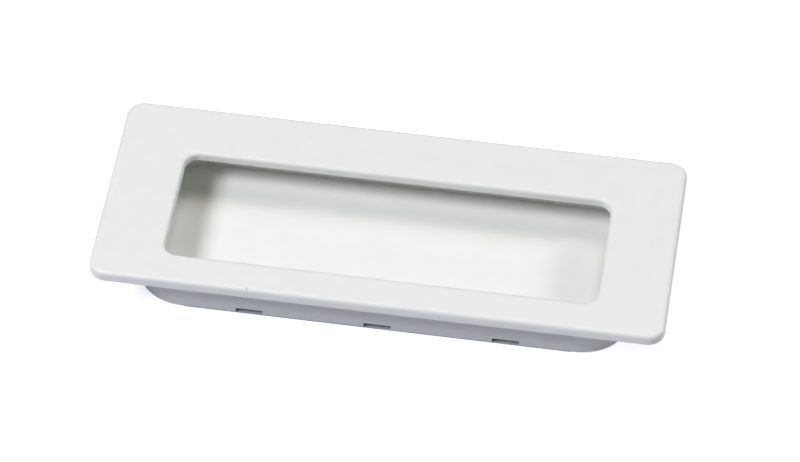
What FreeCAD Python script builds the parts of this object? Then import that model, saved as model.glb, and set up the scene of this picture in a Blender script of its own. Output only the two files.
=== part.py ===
import FreeCAD, Part
import os

from FreeCAD import Vector

# Pocket door pull: a moulded frame with a finger opening, closed behind by a let-in plate.
# Millimetres. The rear rim lies on z = 0, +Z points out of the door, X runs along the pull,
# and the wide grip band is on the +Y side.

# Flange that lies on the door
flange_length = 100.0
flange_width = 40.0
flange_thickness = 2.0
flange_corner_radius = 3.0
flange_edge_radius = 0.8

# Bands of the flange around the finger opening
grip_band = 10.8
lower_band = 6.2
end_band = 12.3
lip_thickness = 1.6
opening_corner_radius = 2.4
opening_edge_radius = 0.7

# Skirt that drops into the mortise, set in from the flange's outline
side_ledge = 4.0
end_ledge = 6.3
skirt_depth = 9.5
skirt_wall = 1.5
skirt_corner_radius = 9.0
skirt_root_radius = 0.5
rim_edge_radius = 0.3

# Back plate, let into a rebate behind the recess, with the rear rim standing past it
plate_thickness = 1.4
rim_stand = 1.2
rebate_width = 0.7
fit_clearance = 0.05

# Notches in the rim along both long walls
notches_per_side = 3
notch_pitch = 22.5
notch_width = 4.8

# Sizes that follow from those above
flange_back = skirt_depth
face = flange_back + flange_thickness
lip_underside = face - lip_thickness
skirt_length = flange_length - 2 * end_ledge
skirt_width = flange_width - 2 * side_ledge
recess_length = skirt_length - 2 * skirt_wall
recess_width = skirt_width - 2 * skirt_wall
recess_corner_radius = skirt_corner_radius - skirt_wall
opening_length = flange_length - 2 * end_band
opening_width = flange_width - grip_band - lower_band
opening_centre = (lower_band - grip_band) / 2
plate_front = rim_stand + plate_thickness


def rounded_slab(length, width, radius, low, high, centre_y=0.0):
    """A block between two heights with its upright corners rounded."""
    corner = Vector(-length / 2, centre_y - width / 2, low)
    block = Part.makeBox(length, width, high - low, corner)
    uprights = [edge for edge in block.Edges if edge.BoundBox.ZLength > (high - low) / 2]
    return block.makeFillet(radius, uprights)


def recess_slab(growth, low, high):
    """A block of the recess's outline, grown all round by the same amount."""
    return rounded_slab(
        recess_length + 2 * growth, recess_width + 2 * growth, recess_corner_radius + growth, low, high
    )


def edges_at(shape, height, length, width):
    """The edges that lie flat at one height and inside a centred rectangle."""
    slack = 1e-3
    flat = []
    for edge in shape.Edges:
        box = edge.BoundBox
        level = max(abs(box.ZMin - height), abs(box.ZMax - height)) < slack
        inside_x = max(-box.XMin, box.XMax) < length / 2 + slack
        inside_y = max(-box.YMin, box.YMax) < width / 2 + slack
        if level and inside_x and inside_y:
            flat.append(edge)
    return flat


def rim_notches():
    """Blocks through the rim of both long walls, as deep as the rim stands past the plate."""
    first = -notch_pitch * (notches_per_side - 1) / 2
    blocks = []
    for index in range(notches_per_side):
        left = first + index * notch_pitch - notch_width / 2
        for near_y in (recess_width / 2, -skirt_width / 2):
            corner = Vector(left, near_y, 0)
            blocks.append(Part.makeBox(notch_width, skirt_wall, rim_stand, corner))
    return blocks


def make_face_frame():
    """Flange and skirt as one moulding, open at the back, with a rebate and a notched rim."""
    flange = rounded_slab(flange_length, flange_width, flange_corner_radius, flange_back, face)
    face_edge = edges_at(flange, face, flange_length, flange_width)
    flange = flange.makeFillet(flange_edge_radius, face_edge)

    skirt = rounded_slab(skirt_length, skirt_width, skirt_corner_radius, 0, flange_back)
    rim_edge = edges_at(skirt, 0, skirt_length, skirt_width)
    skirt = skirt.makeFillet(rim_edge_radius, rim_edge)

    frame = flange.fuse(skirt).removeSplitter()
    root_edge = edges_at(frame, flange_back, skirt_length, skirt_width)
    frame = frame.makeFillet(skirt_root_radius, root_edge)

    recess = recess_slab(0, 0, lip_underside)
    rebate = recess_slab(rebate_width, 0, plate_front)
    opening = rounded_slab(
        opening_length, opening_width, opening_corner_radius, lip_underside, face, opening_centre
    )
    frame = frame.cut([recess, rebate, opening] + rim_notches())
    opening_edge = edges_at(frame, face, skirt_length, skirt_width)
    return frame.makeFillet(opening_edge_radius, opening_edge)


def make_back_plate():
    """The floor of the recess, seated on the step of the rebate."""
    return recess_slab(rebate_width - fit_clearance, rim_stand, plate_front)


pieces = {
    "face_frame": make_face_frame(),
    "back_plate": make_back_plate(),
}

os.makedirs("parts", exist_ok=True)
for name, shape in pieces.items():
    shape.exportStep("parts/" + name + ".step")
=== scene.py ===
import math

import bpy
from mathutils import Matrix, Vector


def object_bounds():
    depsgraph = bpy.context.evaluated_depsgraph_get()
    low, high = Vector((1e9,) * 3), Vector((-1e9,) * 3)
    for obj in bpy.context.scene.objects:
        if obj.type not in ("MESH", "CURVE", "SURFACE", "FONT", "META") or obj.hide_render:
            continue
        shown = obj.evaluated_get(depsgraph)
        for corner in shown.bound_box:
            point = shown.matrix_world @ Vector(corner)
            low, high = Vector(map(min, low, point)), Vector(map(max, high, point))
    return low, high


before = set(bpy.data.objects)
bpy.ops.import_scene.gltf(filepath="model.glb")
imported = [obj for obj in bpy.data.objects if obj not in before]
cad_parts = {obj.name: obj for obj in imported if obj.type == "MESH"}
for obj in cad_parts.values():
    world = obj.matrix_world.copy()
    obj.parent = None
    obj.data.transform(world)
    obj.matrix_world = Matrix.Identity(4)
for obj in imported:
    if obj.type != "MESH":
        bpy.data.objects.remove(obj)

cad_low, cad_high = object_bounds()
scene = bpy.context.scene
scene.view_settings.view_transform = "Standard"

# Places that follow from the frame, in metres
face_height = cad_high.z
near_edge = cad_low.y
right_edge = cad_high.x
centre = (cad_low + cad_high) / 2

# The photograph's camera: image and focal length in pixels, sensor in millimetres, distances in metres
image_width = 800
focal_pixels = 4310
sensor_width = 36.0
camera_azimuth = math.radians(8.63)
camera_elevation = math.radians(50.19)
camera_distance = 0.7497
aim_right = 0.00161
aim_up = -0.00249
clip_near = 0.01
clip_far = 20

# Satin white plastic: one colour for both pieces, and how far the gloss patches vary the roughness
plastic_colour = (0.812, 0.822, 0.798)
frame_roughness = 0.42
plate_roughness = 0.45
roughness_swing = 0.05

# Moulded surface: sizes of the mottling, gloss patches and grain in metres
mottle_size = 0.004
mottle_depth = 0.02
mottle_detail = 3
gloss_patch_size = 0.003
gloss_patch_detail = 2
grain_size = 0.00035
grain_height = 0.00004
grain_strength = 0.25
grain_detail = 2

# The levels that noise mostly keeps between
noise_low = 0.3
noise_high = 0.7

# Small marks on the flange: place and radius in metres, and the share of the colour that they take
# A tiny moulding nib by the near edge, drawn only as a dark spot: painted shade of the nib's lower
# side. The smudge below is a real faint mark.
nib_painted_shade = {
    "place": Vector((-0.0220, near_edge + 0.0004, face_height - 0.0001)),
    "radius": 0.00035,
    "share": 0.4,
}
smudge = {
    "place": Vector((right_edge - 0.0044, 0.0007, face_height)),
    "radius": 0.0008,
    "share": 0.04,
}

# Studio: the floor doesn't glow between the skirt's straight sides, a painted shadow under the pull,
# so that the notches stay dark
lamp_distance = 1.4
floor_half = 0.8
floor_colour = (0.58, 0.59, 0.66)
floor_glow = 0.72
surround_glow = 0.2
painted_shadow_half_length = 0.034
painted_shadow_half_width = 0.016


def direction(azimuth, elevation):
    """The unit vector from the pull towards a point at those angles, in radians."""
    level = math.cos(elevation)
    return Vector((math.sin(azimuth) * level, -math.cos(azimuth) * level, math.sin(elevation)))


def make_camera():
    """The camera at the photograph's viewing angle, aimed at the flange's face."""
    back = direction(camera_azimuth, camera_elevation)
    rotation = (-back).to_track_quat("-Z", "Y")
    right = rotation @ Vector((1, 0, 0))
    up = rotation @ Vector((0, 1, 0))
    aim = Vector((0, 0, face_height)) + right * aim_right + up * aim_up
    data = bpy.data.cameras.new("camera")
    data.sensor_width = sensor_width
    data.lens = focal_pixels / image_width * sensor_width
    data.clip_start = clip_near
    data.clip_end = clip_far
    camera = bpy.data.objects.new("camera", data)
    camera.rotation_mode = "QUATERNION"
    camera.rotation_quaternion = rotation
    camera.location = aim + back * camera_distance
    scene.collection.objects.link(camera)
    scene.camera = camera


def soft_box(name, azimuth, elevation, size, power, colour):
    """A round area lamp that faces the pull."""
    away = direction(math.radians(azimuth), math.radians(elevation))
    data = bpy.data.lights.new(name, "AREA")
    data.shape = "DISK"
    data.size = size
    data.energy = power
    data.color = colour
    lamp = bpy.data.objects.new(name, data)
    lamp.location = centre + away * lamp_distance
    lamp.rotation_mode = "QUATERNION"
    lamp.rotation_quaternion = away.to_track_quat("Z", "Y")
    scene.collection.objects.link(lamp)


def new_material(name):
    """An empty node material, with its nodes, links and output."""
    material = bpy.data.materials.new(name)
    material.use_nodes = True
    nodes = material.node_tree.nodes
    nodes.clear()
    return material, nodes, material.node_tree.links, nodes.new("ShaderNodeOutputMaterial")


def noise(nodes, links, place, size, detail):
    """Noise with grains of about that size in metres."""
    node = nodes.new("ShaderNodeTexNoise")
    node.inputs["Scale"].default_value = 1 / size
    node.inputs["Detail"].default_value = detail
    links.new(place, node.inputs["Vector"])
    return node.outputs["Fac"]


def spread(nodes, links, value, low, high):
    """Noise stretched to run from low to high."""
    node = nodes.new("ShaderNodeMapRange")
    node.inputs["From Min"].default_value = noise_low
    node.inputs["From Max"].default_value = noise_high
    node.inputs["To Min"].default_value = low
    node.inputs["To Max"].default_value = high
    links.new(value, node.inputs["Value"])
    return node.outputs["Result"]


def math_node(nodes, links, operation, first, second):
    """A math node with a link or a number on each side."""
    node = nodes.new("ShaderNodeMath")
    node.operation = operation
    for socket, value in zip(node.inputs, (first, second)):
        if isinstance(value, (int, float)):
            socket.default_value = value
        else:
            links.new(value, socket)
    return node.outputs["Value"]


def marked(nodes, links, place, level, mark):
    """A level brought down by a small soft round mark."""
    away = nodes.new("ShaderNodeVectorMath")
    away.operation = "DISTANCE"
    away.inputs[1].default_value = mark["place"]
    links.new(place, away.inputs[0])
    fade = nodes.new("ShaderNodeMapRange")
    fade.interpolation_type = "SMOOTHSTEP"
    fade.inputs["From Min"].default_value = 0
    fade.inputs["From Max"].default_value = mark["radius"]
    fade.inputs["To Min"].default_value = 1 - mark["share"]
    fade.inputs["To Max"].default_value = 1
    links.new(away.outputs["Value"], fade.inputs["Value"])
    return math_node(nodes, links, "MULTIPLY", level, fade.outputs["Result"])


def white_plastic(name, roughness, marks=()):
    """Satin moulded plastic: fine moulded grain, faint mottling, uneven gloss and any marks given,
    such as a real smudge or the painted shade of a nib.
    """
    material, nodes, links, output = new_material(name)
    place = nodes.new("ShaderNodeTexCoord").outputs["Object"]
    shader = nodes.new("ShaderNodeBsdfPrincipled")
    mottle = noise(nodes, links, place, mottle_size, mottle_detail)
    level = spread(nodes, links, mottle, 1 - mottle_depth, 1)
    for mark in marks:
        level = marked(nodes, links, place, level, mark)
    tint = nodes.new("ShaderNodeVectorMath")
    tint.operation = "SCALE"
    tint.inputs[0].default_value = plastic_colour
    links.new(level, tint.inputs["Scale"])
    links.new(tint.outputs["Vector"], shader.inputs["Base Color"])
    patches = noise(nodes, links, place, gloss_patch_size, gloss_patch_detail)
    gloss = spread(nodes, links, patches, roughness - roughness_swing, roughness + roughness_swing)
    links.new(gloss, shader.inputs["Roughness"])
    grain = nodes.new("ShaderNodeBump")
    grain.inputs["Strength"].default_value = grain_strength
    grain.inputs["Distance"].default_value = grain_height
    links.new(noise(nodes, links, place, grain_size, grain_detail), grain.inputs["Height"])
    links.new(grain.outputs["Normal"], shader.inputs["Normal"])
    links.new(shader.outputs["BSDF"], output.inputs["Surface"])
    return material


def background_rays(nodes, links):
    """One for the rays that show the background, and zero for those that light the pull."""
    path = nodes.new("ShaderNodeLightPath").outputs
    seen = math_node(nodes, links, "MAXIMUM", path["Is Camera Ray"], path["Is Glossy Ray"])
    return math_node(nodes, links, "MAXIMUM", seen, path["Is Transmission Ray"])


def floor_white():
    """Pale matt paper with a glow that is seen but lights nothing, and no glow under the pull, which
    paints a shadow there.
    """
    material, nodes, links, output = new_material("floor_white")
    paper = nodes.new("ShaderNodeBsdfDiffuse")
    paper.inputs["Color"].default_value = floor_colour + (1,)
    seen = background_rays(nodes, links)
    place = nodes.new("ShaderNodeSeparateXYZ")
    links.new(nodes.new("ShaderNodeTexCoord").outputs["Object"], place.inputs["Vector"])
    # The box under the pull where the glow is cut out: a painted shadow
    outside = []
    for axis, half in (("X", painted_shadow_half_length), ("Y", painted_shadow_half_width)):
        away = math_node(nodes, links, "ABSOLUTE", place.outputs[axis], 0)
        outside.append(math_node(nodes, links, "GREATER_THAN", away, half))
    clear = math_node(nodes, links, "MAXIMUM", *outside)
    bright = math_node(nodes, links, "MULTIPLY", seen, clear)
    glow = nodes.new("ShaderNodeEmission")
    links.new(math_node(nodes, links, "MULTIPLY", bright, floor_glow), glow.inputs["Strength"])
    both = nodes.new("ShaderNodeAddShader")
    links.new(paper.outputs["BSDF"], both.inputs[0])
    links.new(glow.outputs["Emission"], both.inputs[1])
    links.new(both.outputs["Shader"], output.inputs["Surface"])
    return material


def make_floor():
    """A square floor that shows white to the camera and lights the skirt from below."""
    mesh = bpy.data.meshes.new("floor")
    corners = [(x * floor_half, y * floor_half, 0) for x, y in ((-1, -1), (1, -1), (1, 1), (-1, 1))]
    mesh.from_pydata(corners, [], [(0, 1, 2, 3)])
    mesh.materials.append(floor_white())
    floor = bpy.data.objects.new("floor", mesh)
    scene.collection.objects.link(floor)


def make_world():
    """White past the floor to the camera, dim in reflections, and no light of its own."""
    world = bpy.data.worlds.new("studio")
    scene.world = world
    world.use_nodes = True
    nodes = world.node_tree.nodes
    links = world.node_tree.links
    white = nodes["Background"].inputs
    white["Color"].default_value = (1, 1, 1, 1)
    reflected = math_node(nodes, links, "MULTIPLY", background_rays(nodes, links), surround_glow)
    direct = nodes.new("ShaderNodeLightPath").outputs["Is Camera Ray"]
    links.new(math_node(nodes, links, "MAXIMUM", direct, reflected), white["Strength"])


def dress(node, material):
    """Give a piece its one material."""
    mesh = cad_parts[node].data
    mesh.materials.clear()
    mesh.materials.append(material)


make_camera()
make_floor()
make_world()
dress("face_frame", white_plastic("frame_white", frame_roughness, (nib_painted_shade, smudge)))
dress("back_plate", white_plastic("plate_white", plate_roughness))

# Lamps: degrees, with azimuth from the front and positive to the right, then metres and watts
soft_box("key", azimuth=-54, elevation=51, size=0.46, power=16.2, colour=(0.925, 0.928, 1))
soft_box("right_back", azimuth=115, elevation=37, size=0.42, power=6.9, colour=(0.845, 0.853, 1))
soft_box("back_high", azimuth=155, elevation=72, size=0.50, power=4.9, colour=(1, 0.895, 0.792))
soft_box("right_fill", azimuth=60, elevation=50, size=0.50, power=1.3, colour=(0.83, 1, 0.643))
